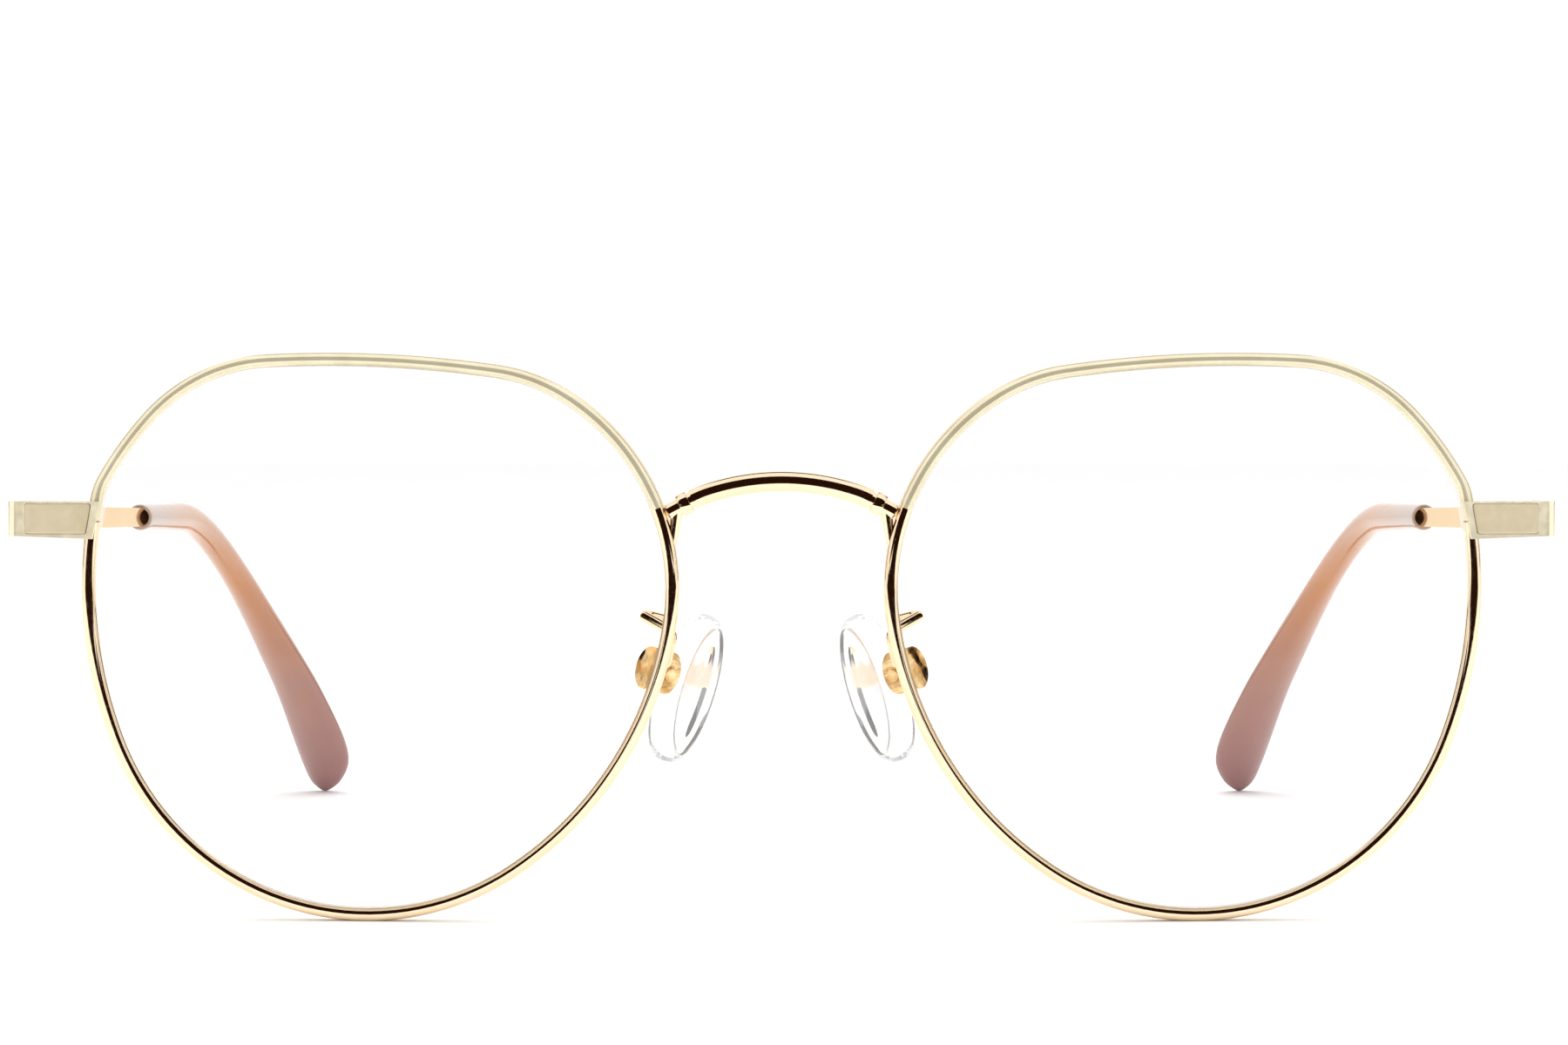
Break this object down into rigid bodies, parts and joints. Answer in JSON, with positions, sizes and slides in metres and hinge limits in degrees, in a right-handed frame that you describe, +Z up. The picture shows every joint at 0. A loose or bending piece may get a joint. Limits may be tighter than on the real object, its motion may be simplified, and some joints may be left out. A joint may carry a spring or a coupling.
{
  "type": "round wire eyeglasses",
  "caption": "Round metal-rimmed eyeglasses with clear lenses, folding temples and rocking nose pads, worn on the nose and ears.",
  "frame": {"origin": "centre of the footprint on the surface that the rims and temple tips stand on", "axes": "+Z up; the front faces -Y and the temples run back along +Y; +X is to the right of a viewer who looks at the front"},
  "size_m": [0.1396, 0.1391, 0.0512],
  "materials": {
    "gold": "polished",
    "cream_enamel": "glossy",
    "clear_lens": "clear",
    "rose_plastic": "translucent",
    "dark_ring": "satin",
    "clear_silicone": "clear",
    "pad_core": "clear",
    "screw_steel": "plated"
  },
  "bodies": {
    "front": {"bridge": "gold", "rim_left": "gold", "rim_enamel_left": "cream_enamel", "lens_left": "clear_lens", "endpiece_left": "gold", "endpiece_enamel_left": "cream_enamel", "rim_lock_upper_left": "gold", "rim_lock_lower_left": "gold", "rim_lock_screw_left": "screw_steel", "hinge_front_left": "gold", "hinge_screw_left": "screw_steel", "pad_arm_left": "gold", "pad_box_left": "gold", "pad_screw_left": "screw_steel", "rim_right": "gold", "rim_enamel_right": "cream_enamel", "lens_right": "clear_lens", "endpiece_right": "gold", "endpiece_enamel_right": "cream_enamel", "rim_lock_upper_right": "gold", "rim_lock_lower_right": "gold", "rim_lock_screw_right": "screw_steel", "hinge_front_right": "gold", "hinge_screw_right": "screw_steel", "pad_arm_right": "gold", "pad_box_right": "gold", "pad_screw_right": "screw_steel"},
    "temple_left": {"hinge_temple_left": "gold", "temple_arm_left": "gold", "temple_tip_left": "rose_plastic", "tip_ring_left": "dark_ring"},
    "temple_right": {"hinge_temple_right": "gold", "temple_arm_right": "gold", "temple_tip_right": "rose_plastic", "tip_ring_right": "dark_ring"},
    "nose_pad_assembly_left": {"nose_pad_left": "clear_silicone", "pad_insert_left": "pad_core"},
    "nose_pad_assembly_right": {"nose_pad_right": "clear_silicone", "pad_insert_right": "pad_core"}
  },
  "joints": [
    {"name": "temple_fold_left", "type": "hinge", "parent": "front", "child": "temple_left", "pos_m": [-0.0676, -0.058, 0.0362], "axis": [0, 0, -1], "range_deg": [0, 82]},
    {"name": "temple_fold_right", "type": "hinge", "parent": "front", "child": "temple_right", "pos_m": [0.0676, -0.058, 0.0362], "axis": [0, 0, 1], "range_deg": [0, 75]},
    {"name": "pad_rock_left", "type": "hinge", "parent": "front", "child": "nose_pad_assembly_left", "pos_m": [-0.0113, -0.0568, 0.0221], "axis": [0.5031, -0.8499, -0.1567], "range_deg": [-8, 8]},
    {"name": "pad_rock_right", "type": "hinge", "parent": "front", "child": "nose_pad_assembly_right", "pos_m": [0.0113, -0.0568, 0.0221], "axis": [0.5031, 0.8499, 0.1567], "range_deg": [-8, 8]}
  ]
}
